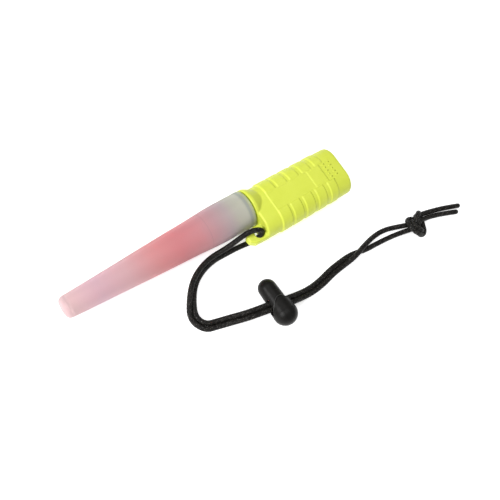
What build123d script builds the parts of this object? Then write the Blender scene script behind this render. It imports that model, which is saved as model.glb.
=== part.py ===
from build123d import *
import math
import os

# ---------------------------------------------------------------------------
# Traffic baton light: flat oval two-cell handle, offset round neck with a
# twist bezel and lamp module, frosted wand pushed over the bezel, and a
# braided wrist cord with a knot and a spring cord lock.
# Built about the handle: x = 0 at the collar's front, wand towards -X,
# y = 0 on the handle's middle, z = 0 on its underside. Everything is then
# moved by SHIFT, which puts the origin under the middle of the rigid object.
# ---------------------------------------------------------------------------

# handle
BAND_W, BAND_T = 38.9, 24.2          # across the raised grip bands
BASE_W, BASE_T = 37.9, 23.2          # grooves and tail zone
SHOULDER_W, SHOULDER_T = 37.3, 22.6  # stepped down front zone
MID_Z = 12.1                         # handle's mid height
FRONT_X, STEP_X, SHELL_END_X, TAIL_X = 1.0, 13.7, 76.4, 77.7
BANDS = [(13.7, 22.4), (24.4, 32.6), (35.3, 43.2), (46.6, 54.4), (58.2, 65.1)]
PANEL_HALF = 7.35
PANEL_END_X, PLAQUE_X = 61.0, 49.8
CAVITY_W, CAVITY_T = 33.6, 19.2

# neck and wand axis
YA, ZA = 7.36, 13.5
COLLAR_R = 13.3
NECK_R, NECK_BORE_R, NECK_X = 10.8, 9.0, -12.2

# bezel and wand
BEZEL_R, BEZEL_BORE_R = 12.2, 10.9
BEZEL_X0, BEZEL_X1 = -35.6, -1.6
SKIRT_R, SKIRT_IN_R = 13.5, 12.5
WAND_TIP_X, WAND_RIM_X = -138.7, -1.2

# cells
CELL_R, CELL_L, CELL_Y = 7.25, 50.5, 7.4
CELL_X0 = 15.5
CELL_Z = 12.1

# cord
CORD_D = 3.6
GAP = 0.3
ADVANCE = 0.8

# cord lock
LOCK_P = Vector(-18.0, -46.6, 6.6)        # centre of the barrel's dome
LOCK_U = Vector(-0.0146, -0.9953, 0.0966).normalized()
CORD_DIR = Vector(0.978, -0.208, 0).normalized()
CROSS = Vector(-18.1, -59.7, 7.85)        # where the strands cross the lock
BARREL_R, BARREL_END_R, BARREL_L = 6.5, 6.9, 18.4
HEAD_R, HEAD_S = 8.5, 20.6
PRESS = 1.8

SHIFT = Vector(30.5, -0.705, 0)

os.makedirs("parts", exist_ok=True)
parts = {}


def keep(name, shape):
    parts[name] = shape


def stad(w, h, x0, x1, zc=MID_Z, yc=0.0):
    """Flat oval bar from x0 to x1."""
    return extrude(Plane.YZ.offset(x0) * (Pos(yc, zc) * SlotOverall(w, h)), x1 - x0)


def rev(points):
    """Solid of revolution about the wand's axis from (x, r) points."""
    face = make_face(Polyline(*[(p[0], p[1], 0) for p in points], close=True))
    return Pos(0, YA, ZA) * revolve(face, Axis.X, 360)


def tube(x0, x1, ro, ri=0.0):
    return rev([(x0, ri), (x1, ri), (x1, ro), (x0, ro)])


def box(x0, x1, y0, y1, z0, z1):
    return Pos((x0 + x1) / 2, (y0 + y1) / 2, (z0 + z1) / 2) * Box(x1 - x0, y1 - y0, z1 - z0)


def ring(x, rc, r):
    """Round section ring about the wand's axis."""
    sec = Plane.XY * (Pos(x, rc) * Circle(r))
    return Pos(0, YA, ZA) * revolve(sec, Axis.X, 360)


def coil(x0, x1, y, z, ra, rb, wire, turns):
    """Compression spring along X with closed round wire."""
    n = 12 * turns
    pts = []
    for i in range(n + 1):
        t = i / n
        r = ra + (rb - ra) * t
        a = 2 * math.pi * turns * t
        pts.append((x0 + (x1 - x0) * t, y + r * math.cos(a), z + r * math.sin(a)))
    path = Spline(*pts)
    sec = Plane(origin=path @ 0, z_dir=path % 0) * Circle(wire / 2)
    return sweep(sec, path=path)


# --------------------------------------------------------------- handle shell
shoulder = stad(SHOULDER_W, SHOULDER_T, FRONT_X, STEP_X + 0.5)
shoulder = fillet(shoulder.edges().group_by(Axis.X)[0], 1.3)
base = stad(BASE_W, BASE_T, STEP_X, SHELL_END_X)
shell = shoulder + base

for x0, x1 in BANDS:
    band = stad(BAND_W, BAND_T, x0, x1)
    band = chamfer(band.edges().group_by(Axis.X)[0] + band.edges().group_by(Axis.X)[-1], 0.35)
    band -= box(x0 - 1, x1 + 1, -PANEL_HALF, PANEL_HALF, -1, 30)
    shell += band

# flat panels on top and underside, a blank raised plaque near the tail
panel_h = BAND_T / 2 - 0.3
shell += box(STEP_X + 0.25, PANEL_END_X, -PANEL_HALF, PANEL_HALF, MID_Z - panel_h, MID_Z + panel_h)
plaque = box(PLAQUE_X, PANEL_END_X, -PANEL_HALF + 0.6, PANEL_HALF - 0.6, MID_Z, MID_Z + BAND_T / 2)
shell += plaque

# offset round collar, sloping back into the flat top
collar = rev([(0, 0), (0, 12.8), (0.5, COLLAR_R), (2.4, COLLAR_R), (10.8, 9.2), (10.8, 0)])
shell += collar

# lanyard lug ahead of the near front corner
lug_outline = Polyline(
    (3.0, -18.6), (-8.6, -18.2), (-12.4, -15.4), (-12.8, -11.2),
    (-9.4, -7.7), (-4.0, -6.7), (3.0, -6.7), close=True)
lug = extrude(Plane.XY.offset(8.8) * make_face(lug_outline), 6.4)
lug = fillet(lug.edges().filter_by(Axis.Z).group_by(Axis.X)[0]
             + lug.edges().filter_by(Axis.Z).group_by(Axis.X)[1]
             + lug.edges().filter_by(Axis.Z).group_by(Axis.X)[2], 2.0)
front_rims = [e for e in lug.edges()
              if e.center().X < 2.9 and (abs(e.center().Z - 8.8) < 0.01 or abs(e.center().Z - 15.2) < 0.01)]
lug = fillet(front_rims, 1.2)
shell += lug

# neck tube that the bezel screws on
shell += tube(NECK_X, 2.0, NECK_R)

# hollows: battery space, neck bore, cord hole, seal groove
shell -= stad(CAVITY_W, CAVITY_T, 4.0, SHELL_END_X + 1)
shell -= tube(NECK_X - 1, 4.5, NECK_BORE_R)
hole = extrude(Plane.XY.offset(5) * (Pos(-2.8, -12.9) * SlotOverall(7.6, 6.6)), 15)
shell -= hole
shell -= tube(-4.1, -2.7, NECK_R + 1, 9.72)
keep("handle_shell", shell)

# ------------------------------------------------------------------- tail cap
cap = stad(BASE_W - 0.2, BASE_T - 0.2, SHELL_END_X, TAIL_X)
cap = fillet(cap.edges().group_by(Axis.X)[-1], 1.0)
cap += stad(CAVITY_W - 0.3, CAVITY_T - 0.3, 74.3, SHELL_END_X + 0.2)
keep("tail_cap", cap)

# --------------------------------------------------------------- battery tray
tray = stad(33.2, 18.8, 15.6, 74.0)
for s in (-1, 1):
    tray -= Pos(0, s * CELL_Y, CELL_Z) * extrude(Plane.YZ.offset(15.0) * Circle(7.4), 57.4)
tray -= box(15.0, 72.4, -1.5, 1.5, CELL_Z - 2.6, CELL_Z + 2.6)
tray -= box(70.6, 72.4, -13.6, 13.6, CELL_Z - 6.2, CELL_Z + 6.2)
for s in (-1, 1):
    tray -= box(24, 60, s * CELL_Y - 3.2, s * CELL_Y + 3.2, -1, 30)
keep("battery_tray", tray)


def cell(y, nub_front):
    """AA cell: rolled steel can with a raised pole and a flat one."""
    can = [(0.0, 0), (0.0, 6.4), (0.8, CELL_R), (48.3, CELL_R), (49.1, 6.5), (49.1, 2.75), (CELL_L, 2.75), (CELL_L, 0)]
    face = make_face(Polyline(*[(a, b, 0) for a, b in can], close=True))
    c = revolve(face, Axis.X, 360)
    if nub_front:
        c = Rot(0, 0, 180) * c
        return Pos(CELL_X0 + CELL_L, y, CELL_Z) * c
    return Pos(CELL_X0, y, CELL_Z) * c


keep("aa_cell_far", cell(CELL_Y, True))
keep("aa_cell_near", cell(-CELL_Y, False))

plate = extrude(Plane.YZ.offset(71.8) * (Pos(0, CELL_Z) * SlotOverall(26.4, 11.6)), 0.5)
keep("tail_contact_plate", plate)

springs = (coil(66.45, 71.4, CELL_Y, CELL_Z, 2.6, 4.6, 0.7, 3)
           + coil(66.45, 71.4, -CELL_Y, CELL_Z, 2.6, 4.6, 0.7, 3))
keep("tail_contact_springs", springs)

strip = box(15.0, 15.4, -11.0, 0.8, CELL_Z - 3.0, CELL_Z + 3.0)
strip = fillet(strip.edges().filter_by(Axis.X), 0.9)
keep("front_contact_strip", strip)

keep("neck_o_ring", ring(-3.4, 10.29, 0.56))

# ---------------------------------------------------------------- lamp module
housing = rev([(-13.0, 7.7), (-13.0, 8.7), (2.0, 8.7), (2.6, 7.6), (13.3, 7.6), (13.3, 1.6),
               (11.6, 1.6), (11.6, 6.6), (1.6, 6.6), (1.6, 7.7)])
keep("module_housing", housing)
sink = rev([(-14.2, 0), (-14.2, 10.5), (-13.1, 10.5), (-13.1, 7.5), (-8.0, 7.5), (-8.0, 2.2), (-6.5, 2.2),
            (-6.5, 0)])
for i in range(8):
    a = math.radians(45 * i + 22.5)
    sink -= Pos(-10.2, YA + 5.0 * math.cos(a), ZA + 5.0 * math.sin(a)) * Rot(0, 90, 0) * Cylinder(0.9, 5.0)
keep("heat_sink", sink)
keep("driver_board", tube(0.2, 1.4, 7.4))
ledb = tube(-15.4, -14.2, 8.0)
for s in (-1, 1):
    ledb -= Pos(-14.8, YA + s * 6.2, ZA) * Rot(0, 90, 0) * Cylinder(1.1, 3)
keep("led_board", ledb)
led = Pos(-15.7, YA, ZA) * Box(0.6, 3.5, 3.5) + rev([(-16.0, 0), (-16.0, 1.35), (-16.6, 1.25), (-17.1, 0.8),
                                                   (-17.3, 0.3), (-17.35, 0)])
keep("led_emitter", led)
pin = rev([(1.4, 0), (1.4, 2.4), (2.2, 2.4), (2.2, 1.5), (14.2, 1.5), (14.65, 1.0), (14.65, 0)])
keep("module_centre_pin", pin)
keep("module_ring_contact", tube(13.3, 14.1, 7.4, 6.0))

# reflector: turned bowl, narrow at the emitter and wide at the lens
bowl = []
for i in range(13):
    r = 2.7 + (9.6 - 2.7) * i / 12
    x = -17.6 - (r * r - 2.7 * 2.7) / (9.6 * 9.6 - 2.7 * 2.7) * 12.5
    bowl.append((x, r))
outer = [(-30.1, 9.6), (-30.1, 10.6), (-29.0, 10.6), (-27.0, 10.2), (-22.0, 8.6), (-18.0, 7.4), (-15.5, 7.4), (-15.5, 2.7)]
keep("reflector", rev(bowl + outer[1:]))

# ---------------------------------------------------------------------- bezel
bez = rev([(BEZEL_X0, 9.5), (BEZEL_X0, 11.6), (BEZEL_X0 + 0.8, BEZEL_R), (BEZEL_X1, BEZEL_R), (BEZEL_X1, BEZEL_BORE_R),
           (-33.5, BEZEL_BORE_R), (-33.5, 9.5)])
bez -= tube(-6.1, -2.5, BEZEL_R + 1, 11.55)
for i in range(30):
    a = math.radians(12 * i)
    bez -= Pos(-20.0, YA + 12.75 * math.cos(a), ZA + 12.75 * math.sin(a)) * Rot(0, 90, 0) * Cylinder(0.85, 23.0)
keep("bezel_ring", bez)
keep("lens_o_ring", ring(-32.9, 10.2, 0.55))
keep("lens", rev([(-32.3, 0), (-32.3, 10.5), (-32.0, 10.7), (-30.6, 10.7), (-30.4, 10.5), (-30.4, 0)]))
band = rev([(-6.0, 11.6), (-6.0, 12.2), (-5.6, 12.45), (-4.9, 12.45), (-4.5, 12.2), (-4.1, 12.2), (-3.7, 12.45),
            (-3.0, 12.45), (-2.6, 12.2), (-2.6, 11.6)])
keep("wand_grip_ring", band)

# ----------------------------------------------------------------------- wand
def wand_face(radii, x_rim, r_rim, x_tip, r_corner):
    """Half section of the wand's outer or inner form down to the axis."""
    skirt_end = (-23.0, r_rim)
    a = Line((x_rim, r_rim), skirt_end)
    b = Spline(skirt_end, *radii, tangents=[(-1, 0), (-1, -0.052)])
    last = radii[-1]
    nose = (x_tip, last[1] - r_corner + (-0.0))
    c = JernArc(start=last, tangent=(-1, -0.052), radius=r_corner, arc_size=87.0)
    d = Line(c @ 1, ((c @ 1).X, 0))
    e = Line(((c @ 1).X, 0), (x_rim, 0))
    f = Line((x_rim, 0), (x_rim, r_rim))
    return make_face([a, b, c, d, e, f])


OUT_R = [(-31.0, 13.08), (-40.0, 12.45), (-60.0, 11.45), (-80.0, 10.4), (-100.0, 9.3), (-120.0, 8.23), (-134.91, 7.5)]
IN_R = [(-44.0, 11.0), (-60.0, 10.2), (-80.0, 9.15), (-100.0, 8.05), (-120.0, 6.98), (-134.0, 6.25)]
outer_w = Pos(0, YA, ZA) * revolve(wand_face(OUT_R, WAND_RIM_X, SKIRT_R, WAND_TIP_X, 4.0), Axis.X, 360)


def inner_form():
    a = Polyline((WAND_RIM_X + 1, 0), (WAND_RIM_X + 1, SKIRT_IN_R), (-27.0, SKIRT_IN_R), (-35.9, 12.28), (-35.9, 11.45))
    b = Spline((-35.9, 11.45), *IN_R, tangents=[(-1, -0.06), (-1, -0.052)])
    c = JernArc(start=IN_R[-1], tangent=(-1, -0.052), radius=3.0, arc_size=87.0)
    d = Line(c @ 1, ((c @ 1).X, 0))
    e = Line(((c @ 1).X, 0), (WAND_RIM_X + 1, 0))
    return Pos(0, YA, ZA) * revolve(make_face([a, b, c, d, e]), Axis.X, 360)


wand = outer_w - inner_form()
keep("wand_shell", wand)

filt_out = [(-36.4, 10.6), (-60.0, 9.2), (-80.0, 7.8), (-100.0, 6.4), (-118.0, 5.0), (-119.2, 3.6), (-119.2, 0)]
filt_in = [(-118.2, 0), (-118.2, 3.2), (-117.4, 4.2), (-100.0, 5.5), (-80.0, 6.9), (-60.0, 8.3), (-37.6, 9.65),
           (-37.6, 9.3), (-36.4, 9.3)]
keep("red_filter", rev(filt_out + filt_in) + rev([(-36.2, 9.3), (-37.6, 9.3), (-37.6, 11.2), (-36.4, 11.2), (-36.2, 11.0)]))

# ------------------------------------------------------------------ wrist cord
STRAND_A = [(-1.2, -13.2, 12.0), (-1.2, -13.2, 16.6), (-3.9, -11.8, 19.6), (-9.3, -9.6, 19.4), (-15.8, -9.2, 16.3),
            (-21.8, -9.2, 11.4), (-28.4, -8.8, 6.9), (-37.75, -8.43, 4.9), (-48.4, -10.86, 4.9), (-58.36, -16.25, 4.85),
            (-66.23, -24.72, 4.3), (-73.43, -36.45, 2.0), (-68.89, -47.65, 1.85), (-59.84, -50.18, 1.85),
            (-51.12, -53.06, 4.2), (-41.52, -56.62, 7.85), (-8.8, -63.58, 7.85), (1.34, -64.74, 4.2),
            (11.03, -65.25, 1.95), (21.26, -64.43, 1.85), (31.77, -62.23, 1.85), (42.16, -61.34, 1.85),
            (50.5, -60.9, 4.6), (56.5, -59.6, 6.1), (62.0, -58.0, 6.1), (69.0, -56.6, 4.2), (78.0, -55.2, 1.85),
            (88.0, -55.3, 1.85), (98.0, -58.3, 2.2), (107.5, -62.6, 4.6)]
STRAND_B = [(-1.2, -13.2, 12.0), (-1.2, -13.2, 6.4), (-4.0, -12.9, 2.7), (-9.5, -12.1, 1.85), (-18.0, -11.1, 1.85),
            (-28.0, -10.8, 1.85), (-37.25, -10.57, 1.85), (-47.6, -12.94, 1.85), (-56.84, -18.15, 1.85),
            (-63.77, -26.48, 1.85), (-69.17, -36.75, 1.85), (-66.11, -44.55, 1.85), (-58.76, -46.62, 1.85),
            (-49.88, -49.54, 4.2), (-40.48, -53.04, 7.85), (-8.2, -59.9, 7.85), (1.66, -61.06, 4.2),
            (10.97, -61.55, 1.95), (20.74, -60.77, 1.85), (31.23, -58.57, 1.85), (41.84, -57.66, 1.85),
            (50.5, -57.3, 1.85), (57.5, -58.3, 1.85), (65.0, -60.3, 1.85), (74.0, -60.9, 1.85), (83.0, -61.6, 1.85),
            (92.5, -62.8, 1.85), (101.0, -64.6, 2.6), (107.0, -66.2, 4.2)]
TAIL_A = [(117.5, -60.3, 4.8), (125.0, -60.9, 2.7), (134.5, -63.0, 1.85), (146.0, -66.3, 1.85), (158.6, -70.9, 1.85)]
TAIL_B = [(117.5, -64.4, 4.4), (125.0, -64.8, 2.4), (134.0, -67.0, 1.85), (144.0, -70.4, 1.85), (153.4, -74.1, 1.85)]


def cord(name, pts):
    v = [Vector(*p) for p in pts]
    radii = []
    for i in range(1, len(v) - 1):
        a, b = v[i] - v[i - 1], v[i + 1] - v[i]
        turn = math.radians(a.get_angle(b))
        radii.append(0.45 * min(a.length, b.length) / math.tan(turn / 2))
    path = FilletPolyline(*v, radius=radii)
    sec = Plane(origin=path @ 0, z_dir=path % 0) * Circle(CORD_D / 2)
    solid = sweep(sec, path=path)
    want = math.pi * CORD_D ** 2 / 4 * path.length
    print(name, "length %.1f" % path.length, "volume ratio %.4f" % (solid.volume / want),
          "radii", [round(r, 1) for r in radii])
    keep(name, solid)


cord("cord_strand_a", STRAND_A)
cord("cord_strand_b", STRAND_B)
cord("cord_tail_a", TAIL_A)
cord("cord_tail_b", TAIL_B)

# doubled overhand knot, as its plain outer form
knot = scale(Sphere(1.0), by=(6.7, 10.0, 5.4))
knot = Pos(112.3, -65.0, 5.5) * Rot(0, 0, -17) * knot
keep("cord_knot", knot)

# ------------------------------------------------------------------- cord lock
# built along +X from the dome's centre, then laid along LOCK_U
lock_plane = Plane(origin=LOCK_P, x_dir=LOCK_U, z_dir=(Vector(0, 0, 1) - LOCK_U * LOCK_U.Z).normalized())


def rev0(points):
    face = make_face(Polyline(*[(p[0], p[1], 0) for p in points], close=True))
    return revolve(face, Axis.X, 360)


def cross_box(length, n0, n1, half_h):
    """Box along the strands; n is measured across them, + towards the dome."""
    pl = Plane(origin=CROSS, x_dir=CORD_DIR, z_dir=(0, 0, 1))
    return pl * (Pos(0, (n0 + n1) / 2, 0) * Box(length, n1 - n0, 2 * half_h))


def arc_pts(cx, r, a0, a1, n):
    return [(cx + r * math.cos(math.radians(a0 + (a1 - a0) * i / n)),
             r * math.sin(math.radians(a0 + (a1 - a0) * i / n))) for i in range(n + 1)]


dome = arc_pts(0.0, BARREL_R, 180, 90, 14)
barrel = rev0(dome + [(BARREL_L - 0.4, BARREL_END_R), (BARREL_L, BARREL_END_R - 0.4), (BARREL_L, 4.5), (1.7, 4.5), (1.7, 0)])
barrel = lock_plane * barrel
barrel -= cross_box(30, -4.15, 4.15, 2.4)
keep("lock_barrel", barrel)

ball = arc_pts(HEAD_S, HEAD_R, 100, 0, 18)
ball[-1] = (HEAD_S + HEAD_R, 0)
skirt = [(9.2, 7.1), (9.2, 7.3), (9.5, 7.45), (11.0, 7.6), (13.0, 7.82), (16.5, 8.18)]
head = lock_plane * rev0(skirt + ball + [(20.5, 0), (20.5, 7.1)])
# the skirt's edge is two rounded tongues, with a wide scallop at each cord side
scallop_plane = Plane(origin=LOCK_P, x_dir=LOCK_U, z_dir=(CORD_DIR - LOCK_U * CORD_DIR.dot(LOCK_U)).normalized())
edge = [(17.2 - 0.125 * h * h, h) for h in (-9.2, -8, -6.5, -5, -3.5, -2, 0, 2, 3.5, 5, 6.5, 8, 9.2)]
scallop_face = make_face([Spline(*[(a, b, 0) for a, b in edge]),
                          Polyline((edge[-1][0], 9.2, 0), (2.0, 9.2, 0), (2.0, -9.2, 0), (edge[0][0], -9.2, 0))])
head -= scallop_plane * extrude(scallop_face, 15, both=True)
stem = lock_plane * rev0([(6.6, 0), (6.6, 3.8), (7.0, 4.2), (20.8, 4.2), (20.8, 0)])
plunger = head + stem
plunger -= cross_box(40, -4.1 - PRESS - 0.3, 4.15, 2.55)
keep("lock_plunger", plunger)

spring = coil(2.05, 6.2, 0, 0, 3.2, 3.2, 0.6, 4)
keep("lock_spring", lock_plane * spring)

# ------------------------------------------------------------------------ write
for name, shape in parts.items():
    shape = Pos(SHIFT.X, SHIFT.Y, SHIFT.Z) * shape
    solids = shape.solids()
    out = solids[0] if len(solids) == 1 else Compound(solids)
    export_step(out, "parts/%s.step" % name)
print(len(parts), "parts")
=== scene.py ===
import math

import bmesh
import bpy
import numpy as np
from mathutils import Matrix, Vector
from mathutils.bvhtree import BVHTree


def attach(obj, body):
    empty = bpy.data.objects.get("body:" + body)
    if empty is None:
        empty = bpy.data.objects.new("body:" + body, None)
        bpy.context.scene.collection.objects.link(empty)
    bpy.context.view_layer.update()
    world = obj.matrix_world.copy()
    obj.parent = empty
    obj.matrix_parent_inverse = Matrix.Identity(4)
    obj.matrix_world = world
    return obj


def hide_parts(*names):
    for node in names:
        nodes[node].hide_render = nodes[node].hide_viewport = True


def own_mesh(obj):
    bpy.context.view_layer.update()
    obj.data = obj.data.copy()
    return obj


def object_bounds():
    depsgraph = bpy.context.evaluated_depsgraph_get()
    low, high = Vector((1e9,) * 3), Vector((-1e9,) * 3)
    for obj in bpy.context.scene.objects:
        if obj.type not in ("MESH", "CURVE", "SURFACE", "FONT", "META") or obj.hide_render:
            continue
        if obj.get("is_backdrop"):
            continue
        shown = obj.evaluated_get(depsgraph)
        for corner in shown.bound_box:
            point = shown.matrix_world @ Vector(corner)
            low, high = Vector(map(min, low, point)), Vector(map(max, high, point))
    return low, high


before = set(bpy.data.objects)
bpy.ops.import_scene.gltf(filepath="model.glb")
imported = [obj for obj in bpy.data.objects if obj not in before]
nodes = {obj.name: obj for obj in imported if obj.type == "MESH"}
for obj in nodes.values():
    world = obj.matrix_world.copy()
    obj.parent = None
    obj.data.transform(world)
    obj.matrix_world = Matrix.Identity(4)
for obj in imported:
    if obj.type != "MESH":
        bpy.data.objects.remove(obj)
cad_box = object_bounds()

scene = bpy.context.scene


def plain(v):
    try:
        return float(v)
    except TypeError:
        return [plain(x) for x in v]


# ----------------------------------------------------------------- camera
CAM_RIGHT = (0.79335839, -0.5609805, 0.23639658)
CAM_UP = (0.4653802, 0.80924308, 0.35853439)
CAM_BACK = (-0.39243309, -0.17443198, 0.90308901)
CAM_AT = (-0.143813, -0.090636, 0.379189)

cam_data = bpy.data.cameras.new("camera")
cam_data.lens = 43.447
cam_data.sensor_width = 36.0
cam_data.clip_start = 0.01
cam_data.clip_end = 20.0
cam = bpy.data.objects.new("camera", cam_data)
scene.collection.objects.link(cam)
cam.matrix_world = Matrix((
    (CAM_RIGHT[0], CAM_UP[0], CAM_BACK[0], CAM_AT[0]),
    (CAM_RIGHT[1], CAM_UP[1], CAM_BACK[1], CAM_AT[1]),
    (CAM_RIGHT[2], CAM_UP[2], CAM_BACK[2], CAM_AT[2]),
    (0, 0, 0, 1)))
scene.camera = cam


def here(p):
    """Model millimetres (x from the collar's front) to metres in the frame."""
    return Vector(((p[0] + 30.5) / 1000, (p[1] - 0.705) / 1000, p[2] / 1000))


AXIS_Y, AXIS_Z = 7.36, 13.5


# -------------------------------------------------------------- node helpers
class Mat:
    """Small wrapper that builds a node material."""

    def __init__(self, name):
        self.m = bpy.data.materials.new(name)
        self.m.use_nodes = True
        self.t = self.m.node_tree
        self.bsdf = self.t.nodes["Principled BSDF"]
        self.out = self.t.nodes["Material Output"]

    def node(self, kind, **props):
        n = self.t.nodes.new(kind)
        for k, v in props.items():
            setattr(n, k, v)
        return n

    def link(self, a, b):
        self.t.links.new(a, b)

    def set(self, **vals):
        names = {"rough": "Roughness", "metal": "Metallic", "ior": "IOR", "spec": "Specular IOR Level",
                 "coat": "Coat Weight", "coat_rough": "Coat Roughness", "trans": "Transmission Weight",
                 "sheen": "Sheen Weight", "sheen_rough": "Sheen Roughness", "sss": "Subsurface Weight",
                 "sss_scale": "Subsurface Scale", "color": "Base Color", "aniso": "Anisotropic",
                 "emit": "Emission Color", "emit_power": "Emission Strength", "sheen_tint": "Sheen Tint",
                 "sss_radius": "Subsurface Radius"}
        for k, v in vals.items():
            s = self.bsdf.inputs[names[k]]
            if k in ("color", "emit", "sheen_tint") and len(v) == 3:
                v = (*v, 1.0)
            s.default_value = v

    def coords(self, kind="Object"):
        return self.node("ShaderNodeTexCoord").outputs[kind]

    def mapped(self, vec, scale=(1, 1, 1), loc=(0, 0, 0), rot=(0, 0, 0)):
        n = self.node("ShaderNodeMapping")
        n.inputs["Scale"].default_value = scale
        n.inputs["Location"].default_value = loc
        n.inputs["Rotation"].default_value = rot
        self.link(vec, n.inputs["Vector"])
        return n.outputs[0]

    def noise(self, vec, scale, detail=3.0, rough=0.55, distort=0.0):
        n = self.node("ShaderNodeTexNoise")
        n.inputs["Scale"].default_value = scale
        n.inputs["Detail"].default_value = detail
        n.inputs["Roughness"].default_value = rough
        n.inputs["Distortion"].default_value = distort
        self.link(vec, n.inputs["Vector"])
        return n.outputs["Fac"]

    def voronoi(self, vec, scale, feature="F1", out="Distance"):
        n = self.node("ShaderNodeTexVoronoi", feature=feature)
        n.inputs["Scale"].default_value = scale
        self.link(vec, n.inputs["Vector"])
        return n.outputs[out]

    def ramp(self, fac, stops, interp="LINEAR"):
        n = self.node("ShaderNodeValToRGB")
        cr = n.color_ramp
        cr.interpolation = interp
        while len(cr.elements) > 1:
            cr.elements.remove(cr.elements[-1])
        first = True
        for pos, col in stops:
            if isinstance(col, (int, float)):
                col = (col, col, col)
            e = cr.elements[0] if first else cr.elements.new(pos)
            e.position = pos
            e.color = (*col, 1.0) if len(col) == 3 else col
            first = False
        self.link(fac, n.inputs["Fac"])
        return n.outputs["Color"]

    def span(self, val, a, b, c, d, smooth=False):
        n = self.node("ShaderNodeMapRange")
        if smooth:
            n.interpolation_type = "SMOOTHSTEP"
        for key, x in (("From Min", a), ("From Max", b), ("To Min", c), ("To Max", d)):
            n.inputs[key].default_value = x
        self.link(val, n.inputs["Value"])
        return n.outputs["Result"]

    def mix(self, fac, a, b, blend="MIX"):
        n = self.node("ShaderNodeMix", data_type="RGBA", blend_type=blend)
        for idx, v in ((0, fac), (6, a), (7, b)):
            if isinstance(v, (int, float)):
                n.inputs[idx].default_value = v
            elif isinstance(v, tuple):
                n.inputs[idx].default_value = (*v, 1.0) if len(v) == 3 else v
            else:
                self.link(v, n.inputs[idx])
        return n.outputs[2]

    def math(self, op, a, b=None, clamp=False):
        n = self.node("ShaderNodeMath", operation=op)
        n.use_clamp = clamp
        for i, v in enumerate((a, b)):
            if v is None:
                continue
            if isinstance(v, (int, float)):
                n.inputs[i].default_value = v
            else:
                self.link(v, n.inputs[i])
        return n.outputs[0]

    def xyz(self, vec):
        n = self.node("ShaderNodeSeparateXYZ")
        self.link(vec, n.inputs[0])
        return n.outputs

    def bump(self, height, strength, distance, normal=None):
        n = self.node("ShaderNodeBump")
        n.inputs["Strength"].default_value = strength
        n.inputs["Distance"].default_value = distance
        self.link(height, n.inputs["Height"])
        if normal is not None:
            self.link(normal, n.inputs["Normal"])
        return n.outputs["Normal"]

    def use(self, socket, value):
        self.link(value, self.bsdf.inputs[socket])


# ------------------------------------------------------------------ materials
def make_hi_vis():
    """Moulded hi-vis plastic: fine spark grain, cloudy pigment, cleaner highs."""
    k = Mat("hi_vis_moulded")
    co = k.coords()
    cloud = k.noise(co, 55.0, 4.0, 0.6)
    fine = k.noise(co, 2600.0, 3.0, 0.6)
    grain = k.noise(co, 5200.0, 2.0, 0.5)
    base = k.ramp(cloud, [(0.30, (0.600, 0.672, 0.062)), (0.52, (0.628, 0.700, 0.070)), (0.75, (0.650, 0.718, 0.082))])
    base = k.mix(k.span(fine, 0.35, 0.75, 0.0, 0.10), base, (0.50, 0.59, 0.04))
    k.use("Base Color", base)
    k.use("Roughness", k.span(k.noise(co, 900.0, 3.0), 0.3, 0.7, 0.40, 0.52))
    n1 = k.bump(grain, 0.22, 0.00006)
    n2 = k.bump(k.noise(co, 160.0, 2.0), 0.10, 0.00025, n1)
    k.use("Normal", n2)
    k.set(spec=0.42, sss=0.06, sss_scale=0.0015, sss_radius=(0.9, 1.0, 0.25))
    return k.m


def make_frosted():
    """Frosted wand wall: blurs what is inside, milky, tinted by the pink core."""
    k = Mat("frosted_wand_wall")
    co = k.coords()
    x = k.xyz(co)[0]
    along = k.span(x, here((0, 0, 0)).x, here((-138.7, 0, 0)).x, 0.0, 1.0)
    tint = k.ramp(along, [
        (0.000, (0.62, 0.70, 0.30)),
        (0.014, (0.70, 0.74, 0.50)),
        (0.050, (0.76, 0.76, 0.68)),
        (0.100, (0.70, 0.68, 0.62)),
        (0.145, (0.67, 0.56, 0.59)),
        (0.216, (0.72, 0.46, 0.51)),
        (0.300, (0.83, 0.40, 0.43)),
        (0.420, (0.86, 0.35, 0.375)),
        (0.540, (0.865, 0.42, 0.43)),
        (0.685, (0.865, 0.58, 0.61)),
        (0.830, (0.84, 0.60, 0.67)),
        (0.960, (0.82, 0.615, 0.62)),
        (1.000, (0.84, 0.64, 0.65)),
    ])
    # painted shade: a grey-blue band a few mm in from the rim, standing for the grip seal's shadow seen through the
    # wall
    seal_shade_band = k.math("MULTIPLY", k.span(along, 0.020, 0.027, 0.0, 1.0, True), k.span(along, 0.036, 0.044, 1.0, 0.0, True))
    tint = k.mix(k.math("MULTIPLY", seal_shade_band, 0.5), tint, (0.36, 0.40, 0.45))
    seam = k.math("MULTIPLY", k.span(along, 0.2572, 0.2596, 0.0, 1.0, True), k.span(along, 0.2606, 0.2636, 1.0, 0.0, True))
    tint = k.mix(k.math("MULTIPLY", seam, 0.28), tint, (0.42, 0.24, 0.28))
    cloud = k.noise(co, 38.0, 3.0, 0.5)
    tint = k.mix(k.span(cloud, 0.35, 0.75, 0.0, 0.10), tint, (0.88, 0.72, 0.73))
    k.use("Base Color", tint)
    grain = k.noise(co, 2400.0, 3.0, 0.6)
    k.use("Roughness", k.span(grain, 0.3, 0.7, 0.50, 0.60))
    k.use("Normal", k.bump(grain, 0.14, 0.00005))
    k.set(trans=0.55, ior=1.40, spec=0.42)
    return k.m


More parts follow.
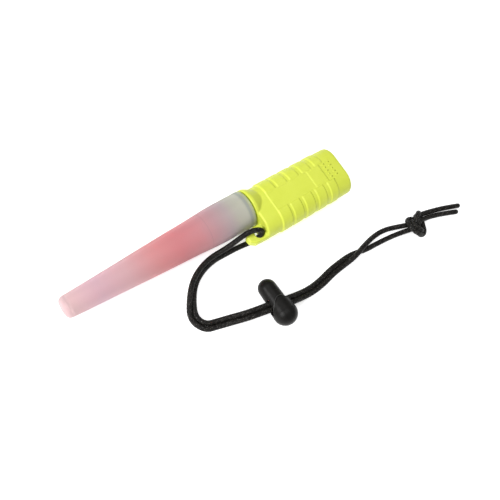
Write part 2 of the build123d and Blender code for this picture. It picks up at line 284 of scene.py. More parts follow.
def make_filter():
    k = Mat("red_filter_film")
    co = k.coords()
    x = k.xyz(co)[0]
    along = k.span(x, here((-36.0, 0, 0)).x, here((-119.0, 0, 0)).x, 0.0, 1.0)
    col = k.ramp(along, [(0.0, (0.72, 0.045, 0.055)), (0.35, (0.78, 0.06, 0.07)), (0.7, (0.80, 0.16, 0.18)),
                         (1.0, (0.85, 0.34, 0.36))])
    col = k.mix(k.span(k.noise(co, 300.0), 0.4, 0.7, 0.0, 0.15), col, (0.9, 0.25, 0.25))
    k.use("Base Color", col)
    k.use("Roughness", k.span(k.noise(co, 700.0), 0.3, 0.7, 0.22, 0.34))
    k.use("Normal", k.bump(k.noise(co, 1500.0), 0.1, 0.00004))
    k.set(trans=0.35, ior=1.45)
    return k.m


def make_cord(name="braided_nylon"):
    """Black filament yarn; the relief is in the mesh, the filaments are bump."""
    k = Mat(name)
    uv = k.coords("UV")
    s = k.xyz(uv)
    # uv: x along the braid's A yarns, y across, both in yarn widths
    fil = k.node("ShaderNodeTexWave", wave_type="BANDS", bands_direction="Y", wave_profile="SIN")
    fil.inputs["Scale"].default_value = 2.2
    fil.inputs["Distortion"].default_value = 1.2
    fil.inputs["Detail"].default_value = 2.0
    k.link(uv, fil.inputs["Vector"])
    co = k.coords()
    dust = k.noise(co, 900.0, 4.0, 0.65)
    col = k.mix(k.span(dust, 0.35, 0.75, 0.0, 1.0), (0.0028, 0.0027, 0.0026), (0.0085, 0.0078, 0.0070))
    col = k.mix(k.math("MULTIPLY", fil.outputs["Fac"], 0.30), col, (0.013, 0.012, 0.0105))
    # painted highlights: a few of the yarn crowns are painted paler, as glints
    tri = [k.math("SUBTRACT", 1.0, k.math("ABSOLUTE", k.math("SUBTRACT", k.math("MULTIPLY", k.math("FRACT", q), 2.0), 1.0)))
           for q in (s[0], s[1])]
    crown_glint_mask = k.span(k.math("MULTIPLY", tri[0], tri[1]), 0.30, 0.75, 0.0, 1.0, True)
    glint_pick = k.span(k.noise(uv, 0.55, 1.0), 0.46, 0.60, 0.0, 1.0, True)
    col = k.mix(k.math("MULTIPLY", crown_glint_mask, glint_pick), col, (0.075, 0.068, 0.058))
    k.use("Base Color", col)
    k.use("Roughness", k.span(dust, 0.3, 0.7, 0.36, 0.55))
    n = k.bump(fil.outputs["Fac"], 0.55, 0.00005)
    n = k.bump(k.noise(co, 4200.0, 2.0), 0.25, 0.00004, n)
    k.use("Normal", n)
    k.use("Specular IOR Level", k.span(k.noise(uv, 0.9, 2.0), 0.50, 0.70, 0.10, 0.62, True))
    return k.m


def make_black_plastic(name="satin_black_plastic", low=0.34, high=0.46, spec=0.14):
    k = Mat(name)
    co = k.coords()
    cloud = k.noise(co, 240.0, 4.0, 0.6)
    col = k.mix(k.span(cloud, 0.3, 0.75, 0.0, 1.0), (0.0042, 0.0040, 0.0036), (0.0095, 0.0090, 0.0080))
    k.use("Base Color", col)
    k.use("Roughness", k.span(k.noise(co, 1400.0, 3.0), 0.3, 0.7, low, high))
    n = k.bump(k.noise(co, 4600.0, 2.0), 0.22, 0.00005)
    n = k.bump(k.noise(co, 420.0, 2.0), 0.10, 0.0001, n)
    k.use("Normal", n)
    k.set(spec=spec)
    return k.m


def make_rubber():
    k = Mat("black_rubber_ring")
    co = k.coords()
    col = k.mix(k.span(k.noise(co, 500.0), 0.3, 0.7, 0.0, 1.0), (0.010, 0.010, 0.011), (0.022, 0.022, 0.023))
    k.use("Base Color", col)
    k.use("Roughness", k.span(k.noise(co, 800.0), 0.3, 0.7, 0.50, 0.66))
    k.use("Normal", k.bump(k.noise(co, 3000.0), 0.3, 0.00005))
    k.set(spec=0.4)
    return k.m


def make_dark_plastic():
    k = Mat("dark_grey_moulding")
    co = k.coords()
    col = k.mix(k.span(k.noise(co, 300.0), 0.3, 0.7, 0.0, 1.0), (0.030, 0.031, 0.033), (0.052, 0.053, 0.055))
    k.use("Base Color", col)
    k.use("Roughness", k.span(k.noise(co, 900.0), 0.3, 0.7, 0.42, 0.58))
    k.use("Normal", k.bump(k.noise(co, 3800.0), 0.25, 0.00005))
    return k.m


def make_metal(name, dark, light, low, high, streak=(1, 1, 14), scale=900.0, bump=0.12):
    k = Mat(name)
    co = k.coords()
    st = k.mapped(co, scale=streak)
    n = k.noise(st, scale, 4.0, 0.6)
    k.use("Base Color", k.mix(k.span(n, 0.3, 0.7, 0.0, 1.0), dark, light))
    k.use("Roughness", k.span(n, 0.3, 0.7, low, high))
    k.use("Normal", k.bump(n, bump, 0.00003))
    k.set(metal=1.0)
    return k.m


def make_lens():
    k = Mat("clear_lens_plastic")
    co = k.coords()
    n = k.noise(co, 1200.0, 3.0)
    k.use("Roughness", k.span(n, 0.3, 0.8, 0.02, 0.06))
    k.use("Normal", k.bump(k.noise(co, 240.0, 2.0), 0.03, 0.00004))
    k.set(color=(0.97, 0.98, 0.98), trans=0.94, ior=1.49)
    return k.m


def make_board():
    k = Mat("circuit_board_mask")
    co = k.coords()
    rot = k.mapped(co, scale=(1, 1, 1))
    s = k.xyz(rot)
    # tracks: a square lattice of fine lines warped by cells
    cell = k.voronoi(k.mapped(co, scale=(1, 1, 1)), 700.0, "DISTANCE_TO_EDGE")
    track = k.span(cell, 0.02, 0.06, 1.0, 0.0)
    col = k.mix(k.span(k.noise(co, 500.0), 0.3, 0.7, 0.0, 1.0), (0.010, 0.090, 0.035), (0.016, 0.130, 0.050))
    col = k.mix(track, col, (0.045, 0.26, 0.11))
    k.use("Base Color", col)
    k.use("Roughness", k.span(cell, 0.0, 0.3, 0.28, 0.42))
    k.use("Normal", k.bump(track, 0.3, 0.00004))
    return k.m


def make_phosphor():
    k = Mat("led_phosphor_dome")
    co = k.coords()
    n = k.noise(co, 1500.0, 3.0)
    k.use("Base Color", k.mix(k.span(n, 0.3, 0.7, 0.0, 1.0), (0.86, 0.72, 0.16), (0.92, 0.82, 0.30)))
    k.use("Roughness", k.span(n, 0.3, 0.7, 0.18, 0.30))
    k.use("Normal", k.bump(n, 0.1, 0.00003))
    k.set(coat=0.6, coat_rough=0.08)
    return k.m


def make_cell_jacket():
    """Printed sleeve with two plain colour bands, steel ends showing."""
    k = Mat("cell_sleeve")
    co = k.coords()
    x = k.xyz(co)[0]
    along = k.span(x, here((15.5, 0, 0)).x, here((66.0, 0, 0)).x, 0.0, 1.0)
    col = k.ramp(along, [(0.0, (0.55, 0.55, 0.54)), (0.035, (0.015, 0.016, 0.018)), (0.62, (0.015, 0.016, 0.018)),
                         (0.63, (0.50, 0.28, 0.09)), (0.965, (0.50, 0.28, 0.09)), (0.975, (0.55, 0.55, 0.54))],
                 "CONSTANT")
    col = k.mix(k.span(k.noise(co, 500.0), 0.4, 0.8, 0.0, 0.2), col, (0.3, 0.3, 0.3))
    k.use("Base Color", col)
    k.use("Metallic", k.ramp(along, [(0.0, 1.0), (0.035, 0.1), (0.63, 0.8), (0.975, 1.0)], "CONSTANT"))
    k.use("Roughness", k.span(k.noise(co, 900.0), 0.3, 0.7, 0.22, 0.36))
    k.use("Normal", k.bump(k.noise(co, 260.0, 2.0), 0.08, 0.0001))
    return k.m


HI_VIS = make_hi_vis()
FROSTED = make_frosted()
FILTER = make_filter()
CORD = make_cord()
BLACK = make_black_plastic()
BLACK_LIP = make_black_plastic("polished_black_lip", 0.30, 0.38, 0.62)
RUBBER = make_rubber()
DARK = make_dark_plastic()
STEEL = make_metal("bright_steel", (0.52, 0.52, 0.53), (0.68, 0.68, 0.69), 0.16, 0.30)
BRASS = make_metal("turned_brass", (0.60, 0.42, 0.16), (0.74, 0.54, 0.24), 0.18, 0.32)
ALU = make_metal("machined_aluminium", (0.60, 0.61, 0.62), (0.74, 0.75, 0.76), 0.24, 0.38, streak=(14, 1, 1))
MIRROR = make_metal("vacuum_metallised_bowl", (0.86, 0.86, 0.87), (0.92, 0.92, 0.93), 0.03, 0.09, streak=(1, 1, 1),
                    scale=600.0, bump=0.03)
LENS = make_lens()
BOARD = make_board()
PHOSPHOR = make_phosphor()
JACKET = make_cell_jacket()

NODE_LOOKS = {
    "tail_cap": HI_VIS, "battery_tray": DARK, "aa_cell_near": JACKET, "aa_cell_far": JACKET,
    "tail_contact_plate": STEEL, "tail_contact_springs": STEEL, "front_contact_strip": BRASS,
    "neck_o_ring": RUBBER, "module_housing": DARK, "heat_sink": ALU, "driver_board": BOARD,
    "led_board": BOARD, "led_emitter": PHOSPHOR, "module_centre_pin": BRASS, "module_ring_contact": BRASS,
    "reflector": MIRROR, "bezel_ring": HI_VIS, "lens": LENS, "lens_o_ring": RUBBER, "wand_grip_ring": RUBBER,
    "red_filter": FILTER,
}
for name, mat in NODE_LOOKS.items():
    for s in nodes[name].material_slots:
        s.material = mat
    if not nodes[name].material_slots:
        nodes[name].data.materials.append(mat)


# -------------------------------------------------------------- mesh helpers
def put(name, me, mat, smooth=True):
    ob = bpy.data.objects.new(name, me)
    scene.collection.objects.link(ob)
    me.materials.clear()
    me.materials.append(mat)
    if smooth:
        me.polygons.foreach_set("use_smooth", [True] * len(me.polygons))
    return ob


def applied(ob):
    """Replaces ob's mesh with the result of its modifiers."""
    dg = bpy.context.evaluated_depsgraph_get()
    me = bpy.data.meshes.new_from_object(ob.evaluated_get(dg))
    old = ob.data
    ob.modifiers.clear()
    ob.data = me
    bpy.data.meshes.remove(old)
    return me


def closed_copy(node_name):
    """A bmesh of a CAD node with its split corners joined."""
    src = nodes[node_name]
    bm = bmesh.new()
    bm.from_mesh(src.data)
    bm.transform(src.matrix_world)
    bmesh.ops.remove_doubles(bm, verts=bm.verts, dist=2e-6)
    return bm


def bar(bm, at, size, turn=0.0, tilt=None, round_to=0.0):
    """A small raised bar joined into bm, at in model mm, size in mm."""
    res = bmesh.ops.create_cube(bm, size=1.0)
    m = Matrix.Translation(here(at)) @ Matrix.Rotation(turn, 4, "Z")
    if tilt is not None:
        m = m @ tilt
    m = m @ Matrix.Diagonal((size[0] / 1000, size[1] / 1000, size[2] / 1000, 1))
    bmesh.ops.transform(bm, matrix=m, verts=res["verts"])


def moulded(name, bm, voxel, rounds, keep, mat):
    """Moulded form with small radii on every edge, from closed volumes."""
    me = bpy.data.meshes.new(name)
    bm.to_mesh(me)
    bm.free()
    ob = put(name, me, mat)
    r = ob.modifiers.new("volume", "REMESH")
    r.mode = "VOXEL"
    r.voxel_size = voxel
    r.adaptivity = 0.0
    s = ob.modifiers.new("soften", "SMOOTH")
    s.factor = 0.5
    s.iterations = rounds
    if keep < 1.0:
        d = ob.modifiers.new("thin", "DECIMATE")
        d.decimate_type = "COLLAPSE"
        d.ratio = keep
    me = applied(ob)
    me.polygons.foreach_set("use_smooth", [True] * len(me.polygons))
    return ob


def lathe(name, profile, mat, turns=128, closed=True):
    """Revolves (x, r) in model mm about the wand's axis."""
    prof = np.array(profile, float)
    n = len(prof)
    ang = np.linspace(0, 2 * np.pi, turns, endpoint=False)
    verts = np.zeros((turns, n, 3))
    verts[:, :, 0] = (prof[:, 0] + 30.5) / 1000
    verts[:, :, 1] = (AXIS_Y - 0.705 + prof[None, :, 1] * np.cos(ang)[:, None]) / 1000
    verts[:, :, 2] = (AXIS_Z + prof[None, :, 1] * np.sin(ang)[:, None]) / 1000
    faces = []
    for i in range(turns):
        j = (i + 1) % turns
        for k in range(n if closed else n - 1):
            l = (k + 1) % n
            faces.append((i * n + k, i * n + l, j * n + l, j * n + k))
    me = bpy.data.meshes.new(name)
    me.from_pydata(verts.reshape(-1, 3).tolist(), [], faces)
    bm = bmesh.new()
    bm.from_mesh(me)
    bmesh.ops.remove_doubles(bm, verts=bm.verts, dist=1e-7)
    bmesh.ops.dissolve_degenerate(bm, edges=bm.edges, dist=1e-8)
    bmesh.ops.recalc_face_normals(bm, faces=bm.faces)
    bm.to_mesh(me)
    bm.free()
    return put(name, me, mat)


# --------------------------------------------------------------------- cords
CORD_D = 3.6
CROWN_D = 3.86          # over the yarn crowns; the mean width is CORD_D
STRAND_A = [(-1.2, -13.2, 12.0), (-1.2, -13.2, 16.6), (-3.9, -11.8, 19.6), (-9.3, -9.6, 19.4), (-15.8, -9.2, 16.3),
            (-21.8, -9.2, 11.4), (-28.4, -8.8, 6.9), (-37.75, -8.43, 4.9), (-48.4, -10.86, 4.9), (-58.36, -16.25, 4.85),
            (-66.23, -24.72, 4.3), (-73.43, -36.45, 2.0), (-68.89, -47.65, 1.85), (-59.84, -50.18, 1.85),
            (-51.12, -53.06, 4.2), (-41.52, -56.62, 7.85), (-31.74, -58.70, 7.85), (-19.36, -61.33, 7.85),
            (-8.8, -63.58, 7.85), (1.34, -64.74, 4.2),
            (11.03, -65.25, 1.95), (21.26, -64.43, 1.85), (31.77, -62.23, 1.85), (42.16, -61.34, 1.85),
            (50.5, -60.9, 4.6), (56.5, -59.6, 6.1), (62.0, -58.0, 6.1), (69.0, -56.6, 4.2), (78.0, -55.2, 1.85),
            (88.0, -55.3, 1.85), (98.0, -58.3, 2.2), (107.5, -62.6, 4.6)]
STRAND_B = [(-1.2, -13.2, 12.0), (-1.2, -13.2, 6.4), (-4.0, -12.9, 2.7), (-9.5, -12.1, 1.85), (-18.0, -11.1, 1.85),
            (-28.0, -10.8, 1.85), (-37.25, -10.57, 1.85), (-47.6, -12.94, 1.85), (-56.84, -18.15, 1.85),
            (-63.77, -26.48, 1.85), (-69.17, -36.75, 1.85), (-66.11, -44.55, 1.85), (-58.76, -46.62, 1.85),
            (-49.88, -49.54, 4.2), (-40.48, -53.04, 7.85), (-30.70, -55.12, 7.85), (-18.57, -57.70, 7.85),
            (-8.2, -59.9, 7.85), (1.66, -61.06, 4.2),
            (10.97, -61.55, 1.95), (20.74, -60.77, 1.85), (31.23, -58.57, 1.85), (41.84, -57.66, 1.85),
            (50.5, -57.3, 1.85), (57.5, -58.3, 1.85), (65.0, -60.3, 1.85), (74.0, -60.9, 1.85), (83.0, -61.6, 1.85),
            (92.5, -62.8, 1.85), (101.0, -64.6, 2.6), (107.0, -66.2, 4.2)]
TAIL_A = [(117.5, -60.3, 4.8), (125.0, -60.9, 2.7), (134.5, -63.0, 1.85), (146.0, -66.3, 1.85), (158.6, -70.9, 1.85)]
TAIL_B = [(117.5, -64.4, 4.4), (125.0, -64.8, 2.4), (134.0, -67.0, 1.85), (144.0, -70.4, 1.85), (153.4, -74.1, 1.85)]


def line_of(name, pts, order=3):
    """The smooth line of a NURBS route, read back as points in metres."""
    cu = bpy.data.curves.new(name, "CURVE")
    cu.dimensions = "3D"
    sp = cu.splines.new("NURBS")
    sp.points.add(len(pts) - 1)
    for q, p in zip(sp.points, pts):
        q.co = (*here(p), 1.0)
    sp.order_u = order
    sp.use_endpoint_u = True
    sp.resolution_u = 24
    ob = bpy.data.objects.new(name, cu)
    me = bpy.data.meshes.new_from_object(ob)
    line = np.array([v.co[:] for v in me.vertices])
    bpy.data.meshes.remove(me)
    bpy.data.objects.remove(ob)
    bpy.data.curves.remove(cu)
    return line


def frames_along(line, step):
    """Even stations on a line with turning-free frames."""
    seg = np.linalg.norm(np.diff(line, axis=0), axis=1)
    s = np.r_[0.0, np.cumsum(seg)]
    n = max(8, int(round(s[-1] / step)))
    at = np.linspace(0.0, s[-1], n + 1)
    p = np.stack([np.interp(at, s, line[:, i]) for i in range(3)], 1)
    for _ in range(3):
        p[1:-1] = 0.25 * p[:-2] + 0.5 * p[1:-1] + 0.25 * p[2:]
    t = np.gradient(p, axis=0)
    t /= np.linalg.norm(t, axis=1)[:, None]
    ref = np.array([0.0, 0.0, 1.0]) if abs(t[0][2]) < 0.9 else np.array([0.0, 1.0, 0.0])
    e = ref - t[0] * (ref @ t[0])
    e /= np.linalg.norm(e)
    normals = [e]
    for i in range(1, len(p)):
        e = normals[-1] - t[i] * (normals[-1] @ t[i])
        normals.append(e / np.linalg.norm(e))
    nrm = np.array(normals)
    return at, p, t, nrm, np.cross(t, nrm)


def braid_height(a, b):
    """Relief of a one-over-one tubular braid, 0 in the gaps to 1 on the crowns."""
    ia, ib = np.floor(a), np.floor(b)
    fa, fb = a - ia, b - ib
    wave_a = np.sin(np.pi * b) * np.where(ia % 2 == 0, 1.0, -1.0)
    wave_b = -np.sin(np.pi * a) * np.where(ib % 2 == 0, 1.0, -1.0)
    round_a = np.sqrt(np.clip(1 - (2 * fa - 1) ** 2 * 0.92, 0, 1))
    round_b = np.sqrt(np.clip(1 - (2 * fb - 1) ** 2 * 0.92, 0, 1))
    ha = 0.62 * round_a + 0.38 * wave_a
    hb = 0.62 * round_b + 0.38 * wave_b
    return np.maximum(ha, hb), ha > hb


def braided(name, line, diameter=CROWN_D, yarns=8, pitch=2.4, around=56, step=0.22, start="open", end="open",
            seed=1, squash_line=None):
    """A braided tube along a line; ends: open to meet the next piece, or a fused cut."""
    at, p, t, e1, e2 = frames_along(line, step / 1000)
    rng = np.random.default_rng(seed)
    n = len(p)
    th = np.linspace(0, 2 * np.pi, around, endpoint=False)
    u = at * 1000
    # slow changes along the cord: twist of the braid, and a slightly uneven width
    k = max(4, int(u[-1] / 14))
    wob = np.interp(u, np.linspace(0, u[-1], k), rng.uniform(-1, 1, k))
    twist = np.interp(u, np.linspace(0, u[-1], k), np.cumsum(rng.uniform(-0.25, 0.25, k)))
    TH, U = np.meshgrid(th, u)
    a = (TH + twist[:, None]) / (2 * np.pi) * yarns + U / pitch
    b = -(TH + twist[:, None]) / (2 * np.pi) * yarns + U / pitch
    # keep the pattern whole round the tube
    h, top_a = braid_height(a, b + 400)
    r_out = diameter / 2
    r = r_out * (0.86 + 0.14 * h) * (1.0 + 0.014 * wob[:, None])
    shrink = np.ones(n)
    for side, kind in ((0, start), (1, end)):
        if kind == "cut":
            d = (u if side == 0 else u[-1] - u)
            shrink *= 0.80 + 0.20 * np.clip(d / 0.9, 0, 1) ** 0.5
            r = r - (r - r_out * 0.93) * np.clip(1 - d / 0.7, 0, 1)[:, None] * 0.8
    r = r * shrink[:, None] / 1000
    V = p[:, None, :] + r[:, :, None] * (np.cos(TH)[:, :, None] * e1[:, None, :] + np.sin(TH)[:, :, None] * e2[:, None, :])
    V[:, :, 2] = np.maximum(V[:, :, 2], 0.00002)
    verts = V.reshape(-1, 3)
    i = np.arange(n - 1)[:, None] * around
    j = np.arange(around)[None, :]
    j2 = (j + 1) % around
    quads = np.stack([i + j, i + j2, i + around + j2, i + around + j], -1).reshape(-1, 4)
    caps_v, caps_f = [], []
    base = len(verts)
    for side in (0, 1):
        ring0 = 0 if side == 0 else (n - 1) * around
        c = p[0] if side == 0 else p[-1]
        d = -t[0] if side == 0 else t[-1]
        kind = start if side == 0 else end
        rings = [ring0]
        if kind == "cut":
            for q, (f, out) in enumerate(((0.84, 0.22), (0.55, 0.36), (0.25, 0.38))):
                rr = (V[0 if side == 0 else -1] - c) * f
                jit = 1 + 0.10 * np.sin(th * (3 + q) + seed)
                ringv = c + rr * jit[:, None] + d * (out / 1000) + rng.normal(0, 0.00002, (around, 3))
                ringv[:, 2] = np.maximum(ringv[:, 2], 0.00002)
                rings.append(base + len(caps_v))
                caps_v.extend(ringv.tolist())
            for q in range(len(rings) - 1):
                for m in range(around):
                    m2 = (m + 1) % around
                    f = (rings[q] + m, rings[q] + m2, rings[q + 1] + m2, rings[q + 1] + m)
                    caps_f.append(f[::-1] if side == 0 else f)
        mid = base + len(caps_v)
        tip = c + d * (0.00034 if kind == "cut" else 0.0)
        caps_v.append(tip.tolist())
        last = rings[-1]
        for m in range(around):
            m2 = (m + 1) % around
            f = (last + m, last + m2, mid)
            caps_f.append(f[::-1] if side == 0 else f)
    me = bpy.data.meshes.new(name)
    me.from_pydata(verts.tolist() + caps_v, [], quads.tolist() + caps_f)
    uvl = me.uv_layers.new(name="yarn")
    # yarn coordinates: along and across the yarn on top
    al = np.where(top_a, b, a) + 0.0
    ac = np.where(top_a, a, b) + 0.0
    flat = np.zeros((len(verts) + len(caps_v), 2))
    flat[: len(verts), 0] = al.reshape(-1)
    flat[: len(verts), 1] = ac.reshape(-1)
    li = np.zeros(len(me.loops), np.int32)
    me.loops.foreach_get("vertex_index", li)
    uvl.data.foreach_set("uv", flat[li].reshape(-1))
    me.validate()
    bm = bmesh.new()
    bm.from_mesh(me)
    bmesh.ops.recalc_face_normals(bm, faces=bm.faces)
    bm.to_mesh(me)
    bm.free()
    return put(name, me, CORD)


line_a = line_of("route_a", STRAND_A)
line_b = line_of("route_b", STRAND_B)
line_ta = line_of("route_tail_a", TAIL_A)
line_tb = line_of("route_tail_b", TAIL_B)

strand_a = braided("cord_a_braid", line_a, seed=3)
strand_b = braided("cord_b_braid", line_b, seed=5)
tail_a = braided("cord_tail_a_braid", line_ta, end="cut", seed=7)
tail_b = braided("cord_tail_b_braid", line_tb, end="cut", seed=9)

# the doubled overhand knot: each strand's own path through it
KNOT_A = [(107.50, -62.60, 4.60), (108.65, -62.78, 4.85), (110.08, -63.88, 7.63), (112.16, -63.06, 9.52),
          (114.22, -60.60, 10.55), (117.00, -59.26, 9.12), (119.14, -59.02, 7.06), (121.16, -59.17, 4.25),
          (121.84, -61.88, 2.49), (121.08, -65.00, 1.96), (119.67, -67.72, 1.58), (117.97, -70.34, 2.40),
          (116.30, -72.94, 2.52), (113.19, -74.35, 2.98), (110.40, -73.36, 4.25), (108.55, -71.89, 6.50),
          (106.40, -70.03, 7.54), (104.73, -67.48, 9.07), (104.87, -64.23, 8.48), (105.70, -61.60, 7.03),
          (107.49, -59.24, 5.66), (110.63, -58.82, 4.56), (113.40, -61.04, 4.42), (115.00, -61.36, 3.47),
          (116.31, -60.75, 5.11), (117.50, -60.30, 4.80)]
KNOT_B = [(107.00, -66.20, 4.20), (107.98, -65.66, 3.92), (110.84, -66.61, 5.05), (113.65, -66.56, 7.29),
          (114.10, -63.02, 7.29), (115.51, -60.17, 7.25), (117.35, -59.81, 3.79), (117.41, -62.89, 2.13),
          (116.33, -65.63, 1.80), (115.34, -68.72, 1.55), (113.83, -70.46, 4.00), (112.13, -71.80, 6.23),
          (109.91, -69.28, 7.82), (108.15, -67.52, 9.02), (107.60, -63.97, 9.08), (109.30, -61.57, 6.83),
          (111.52, -63.30, 5.17), (113.48, -65.56, 3.47), (114.84, -66.02, 4.91), (116.53, -64.54, 4.25),
          (117.50, -64.40, 4.40)]

for ob, node_name in ((strand_a, "cord_strand_a"), (strand_b, "cord_strand_b"), (tail_a, "cord_tail_a"),
                      (tail_b, "cord_tail_b")):
    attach(ob, "handle")
    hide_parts(node_name)

if KNOT_A:
    knot_a = braided("cord_knot_a", line_of("knot_route_a", KNOT_A, 4), diameter=4.05, seed=11)
    knot_b = braided("cord_knot_b", line_of("knot_route_b", KNOT_B, 4), diameter=4.05, seed=13)
    for ob in (knot_a, knot_b):
        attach(ob, "handle")
        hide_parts("cord_knot")
    on_a, on_b = [knot_a, "cord_knot"], [knot_b, "cord_knot"]
else:
    knot_a = knot_b = None
    for s in nodes["cord_knot"].material_slots:
        s.material = CORD


# -------------------------------------------------------------------- handle
bm = closed_copy("handle_shell")
handle = moulded("handle_moulding", bm, 0.00030, 3, 0.42, HI_VIS)
hm = handle.data
skin = BVHTree.FromPolygons([v.co.copy() for v in hm.vertices], [tuple(p.vertices) for p in hm.polygons])
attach(handle, "handle")
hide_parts("handle_shell")

# plain raised strokes on the tail zone, in two rows
marks = bmesh.new()
for row_x, strokes in ((64.6, (2.6, 2.0, 2.6, 1.5, 2.6, 2.0)), (69.4, (2.0, 2.6, 1.5, 2.6, 2.6))):
    for i, size in enumerate(strokes):
        y = 5.6 - 2.7 * i
        hit, normal, _, _ = skin.ray_cast(here((row_x, y, 60.0)), Vector((0, 0, -1)))
        if hit is None or normal.z < 0.8:
            continue
        lean = Vector((0, 0, 1)).rotation_difference(normal).to_matrix().to_4x4()
        made = bmesh.ops.create_cube(marks, size=1.0)
        place = Matrix.Translation(hit) @ lean @ Matrix.Diagonal((size / 1000, 0.00085, 0.0005, 1))
        bmesh.ops.transform(marks, matrix=place, verts=made["verts"])
bmesh.ops.bevel(marks, geom=list(marks.edges), offset=0.00014, segments=3, affect="EDGES")
me = bpy.data.meshes.new("handle_raised_marks")
marks.to_mesh(me)
marks.free()
mark_ob = put("handle_raised_marks", me, HI_VIS)
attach(mark_ob, "handle")

# ---------------------------------------------------------------------- wand
OUT_R = [(-31.0, 13.08), (-40.0, 12.45), (-60.0, 11.45), (-80.0, 10.4), (-100.0, 9.3), (-120.0, 8.23), (-134.91, 7.5)]
IN_R = [(-44.0, 11.0), (-60.0, 10.2), (-80.0, 9.15), (-100.0, 8.05), (-120.0, 6.98), (-134.0, 6.25)]


def curve_through(pts, n):
    """Natural smooth curve through points, by arc parameter."""
    p = np.array(pts, float)
    s = np.r_[0, np.cumsum(np.hypot(*np.diff(p, axis=0).T))]
    m = len(p)
    out = []
    for c in range(2):
        y = p[:, c]
        h = np.diff(s)
        A = np.zeros((m, m))
        r = np.zeros(m)
        A[0, 0] = A[-1, -1] = 1
        for i in range(1, m - 1):
            A[i, i - 1], A[i, i], A[i, i + 1] = h[i - 1], 2 * (h[i - 1] + h[i]), h[i]
            r[i] = 6 * ((y[i + 1] - y[i]) / h[i] - (y[i] - y[i - 1]) / h[i - 1])
        k = np.linalg.solve(A, r)
        q = np.linspace(0, s[-1], n)
        i = np.clip(np.searchsorted(s, q) - 1, 0, m - 2)
        d = q - s[i]
        hh = h[i]
        out.append(y[i] + d * ((y[i + 1] - y[i]) / hh - hh * (2 * k[i] + k[i + 1]) / 6) + d * d * k[i] / 2
                   + d ** 3 * (k[i + 1] - k[i]) / (6 * hh))
    return list(zip(*out))


def nose(last, r_corner, x_flat, n=10):
    """Rounded corner from the taper onto the flat end, then to the axis."""
    pts = []
    r0 = last[1]
    cx = x_flat + r_corner
    cr = r0 - r_corner
    for i in range(n + 1):
        a = math.radians(87.0 * i / n + 3.0)
        pts.append((cx - r_corner * math.sin(a), cr + r_corner * math.cos(a)))
    pts[-1] = (x_flat, cr)
    for f in (0.75, 0.5, 0.25, 0.0):
        pts.append((x_flat - 0.10 * (1 - f * f), cr * f))
    return pts


outer = [(-1.2, 12.62), (-1.2, 13.32), (-1.25, 13.42), (-1.38, 13.5), (-4.0, 13.5), (-10.0, 13.5), (-16.0, 13.49)]
outer += curve_through([(-22.0, 13.46), *OUT_R], 60)
outer += nose((-134.91, 7.45), 4.0, -138.6)
inner = [(-1.2, 12.62), (-1.35, 12.5), (-10.0, 12.5), (-27.0, 12.5), (-35.5, 12.3), (-35.8, 12.2), (-35.9, 12.0),
         (-35.9, 11.6), (-36.1, 11.45)]
inner += curve_through([(-36.6, 11.42), *IN_R], 50)
inner += nose((-134.0, 6.2), 3.0, -137.2)
wand = lathe("wand_frosted_shell", outer + inner[::-1][1:-1], FROSTED, 144)
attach(wand, "wand")
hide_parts("wand_shell")

# ----------------------------------------------------------------- cord lock
bm = closed_copy("lock_barrel")
barrel = moulded("lock_barrel_moulding", bm, 0.00020, 3, 0.5, BLACK)
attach(barrel, "cord_lock")
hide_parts("lock_barrel")

bm = closed_copy("lock_plunger")
plunger = moulded("lock_plunger_moulding", bm, 0.00020, 3, 0.5, BLACK)
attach(plunger, "lock_button")
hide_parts("lock_plunger")

LOCK_P = Vector((-18.0, -46.6, 6.6))
LOCK_U = Vector((-0.0146, -0.9953, 0.0966)).normalized()
# rolled lip on the skirt's scalloped edge: two tongues, dipping at the cord sides
lip_h = (Vector((0, 0, 1)) - LOCK_U * LOCK_U.z).normalized()
lip_w = LOCK_U.cross(lip_h).normalized()
lip_n, lip_m, lip_r = 180, 12, 0.36


def lip_point(a):
    h = 7.9 * math.sin(a)
    st = 17.2 - 0.125 * h * h
    big = 7.3 + (8.18 - 7.3) * (st - 9.2) / (16.5 - 9.2)
    w = math.sqrt(max(0.0, 1 - math.sin(a) ** 2)) * big * (1 if math.cos(a) >= 0 else -1)
    hh = math.copysign(math.sqrt(max(0.0, big * big - w * w)), math.sin(a))
    return LOCK_P + LOCK_U * st + lip_h * hh * 0.985 + lip_w * w * 0.985


# each tongue's edge is its own run, so that the slot for the cord stays open
lip_v, lip_f = [], []
lip_a0 = math.asin(3.1 / 7.9)
for turn in (0.0, math.pi):
    base = len(lip_v)
    span = math.pi - 2 * lip_a0
    for i in range(lip_n // 2 + 1):
        a = turn + lip_a0 + span * i / (lip_n // 2)
        c = lip_point(a)
        t = (lip_point(a + 0.01) - lip_point(a - 0.01)).normalized()
        radial = c - LOCK_P
        radial = (radial - LOCK_U * radial.dot(LOCK_U)).normalized()
        e1 = (radial - t * radial.dot(t)).normalized()
        e2 = t.cross(e1)
        for j in range(lip_m):
            b = 2 * math.pi * j / lip_m
            q = here(c + (e1 * math.cos(b) + e2 * math.sin(b)) * lip_r)
            q.z = max(q.z, 0.00003)
            lip_v.append(q)
    for i in range(lip_n // 2):
        for j in range(lip_m):
            j2 = (j + 1) % lip_m
            r0, r1 = base + i * lip_m, base + (i + 1) * lip_m
            lip_f.append((r0 + j, r0 + j2, r1 + j2, r1 + j))
    lip_f.append(tuple(base + j for j in range(lip_m)))
    lip_f.append(tuple(base + (lip_n // 2) * lip_m + j for j in range(lip_m))[::-1])
me = bpy.data.meshes.new("lock_lip")
me.from_pydata(lip_v, [], lip_f)
bm = bmesh.new()
bm.from_mesh(me)
bmesh.ops.recalc_face_normals(bm, faces=bm.faces)
bm.to_mesh(me)
bm.free()
lip = put("lock_lip", me, BLACK_LIP)
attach(lip, "lock_button")
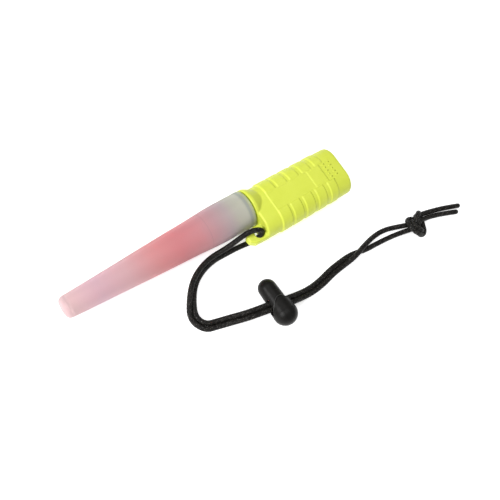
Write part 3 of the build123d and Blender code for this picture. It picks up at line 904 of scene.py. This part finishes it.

# the lock's spring
side = LOCK_U.cross(Vector((0, 0, 1))).normalized()
upw = side.cross(LOCK_U).normalized()
wire, coil_r, s0, s1, turns = 0.3, 3.2, 2.05, 6.2, 4
ring_n, cnt = 10, 24 * turns
vv, ff = [], []
for i in range(cnt + 1):
    f = i / cnt
    a = 2 * math.pi * turns * f
    rise = s0 + wire + (s1 - s0 - 2 * wire) * min(1.0, max(0.0, (f - 0.10) / 0.80))
    rad = side * math.cos(a) + upw * math.sin(a)
    cpt = LOCK_P + LOCK_U * rise + rad * coil_r
    for j in range(ring_n):
        b = 2 * math.pi * j / ring_n
        q = cpt + (rad * math.cos(b) + LOCK_U * math.sin(b)) * wire
        vv.append(here(q))
for i in range(cnt):
    for j in range(ring_n):
        j2 = (j + 1) % ring_n
        ff.append((i * ring_n + j, i * ring_n + j2, (i + 1) * ring_n + j2, (i + 1) * ring_n + j))
ff.append(tuple(range(ring_n)))
ff.append(tuple(cnt * ring_n + j for j in range(ring_n))[::-1])
me = bpy.data.meshes.new("lock_coil")
me.from_pydata(vv, [], ff)
bm = bmesh.new()
bm.from_mesh(me)
bmesh.ops.recalc_face_normals(bm, faces=bm.faces)
bm.to_mesh(me)
bm.free()
coil = put("lock_coil", me, STEEL)
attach(coil, "cord_lock")
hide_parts("lock_spring")
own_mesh(coil)

# ---------------------------------------------------------------- surroundings
def make_floor():
    k = Mat("studio_white")
    co = k.coords()
    n = k.noise(co, 6.0, 3.0)
    k.use("Base Color", k.mix(k.span(n, 0.3, 0.7, 0.0, 1.0), (0.93, 0.93, 0.93), (0.95, 0.95, 0.95)))
    k.set(rough=0.75, spec=0.2, emit=(1, 1, 1), emit_power=0.52)
    return k.m


me = bpy.data.meshes.new("floor")
S = 4.0
bm = bmesh.new()
bmesh.ops.create_grid(bm, x_segments=8, y_segments=8, size=S)
bm.to_mesh(me)
bm.free()
floor = put("floor", me, make_floor(), smooth=False)
floor.location = (0, 0, -0.00002)
floor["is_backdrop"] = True

world = bpy.data.worlds.new("studio")
scene.world = world
world.use_nodes = True
bg = world.node_tree.nodes["Background"]
bg.inputs["Color"].default_value = (1.0, 1.0, 1.0, 1.0)
bg.inputs["Strength"].default_value = 0.40


def softbox(name, at, look, size, power):
    ld = bpy.data.lights.new(name, "AREA")
    ld.shape = "RECTANGLE"
    ld.size, ld.size_y = size
    ld.energy = power
    ob = bpy.data.objects.new(name, ld)
    scene.collection.objects.link(ob)
    ob.location = at
    d = Vector(look) - Vector(at)
    ob.rotation_euler = d.to_track_quat("-Z", "Y").to_euler()
    return ob


softbox("key", (-0.85, 0.06, 0.70), (0.02, -0.02, 0.0), (0.6, 0.45), 11.5)
softbox("top", (0.0, 0.06, 1.1), (0.02, -0.02, 0.0), (0.8, 0.8), 4.2)

scene.view_settings.view_transform = "Standard"
scene.view_settings.look = "None"
scene.view_settings.exposure = 0.0
scene.view_settings.gamma = 1.0

{"cad": plain(cad_box), "visual": plain(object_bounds())}
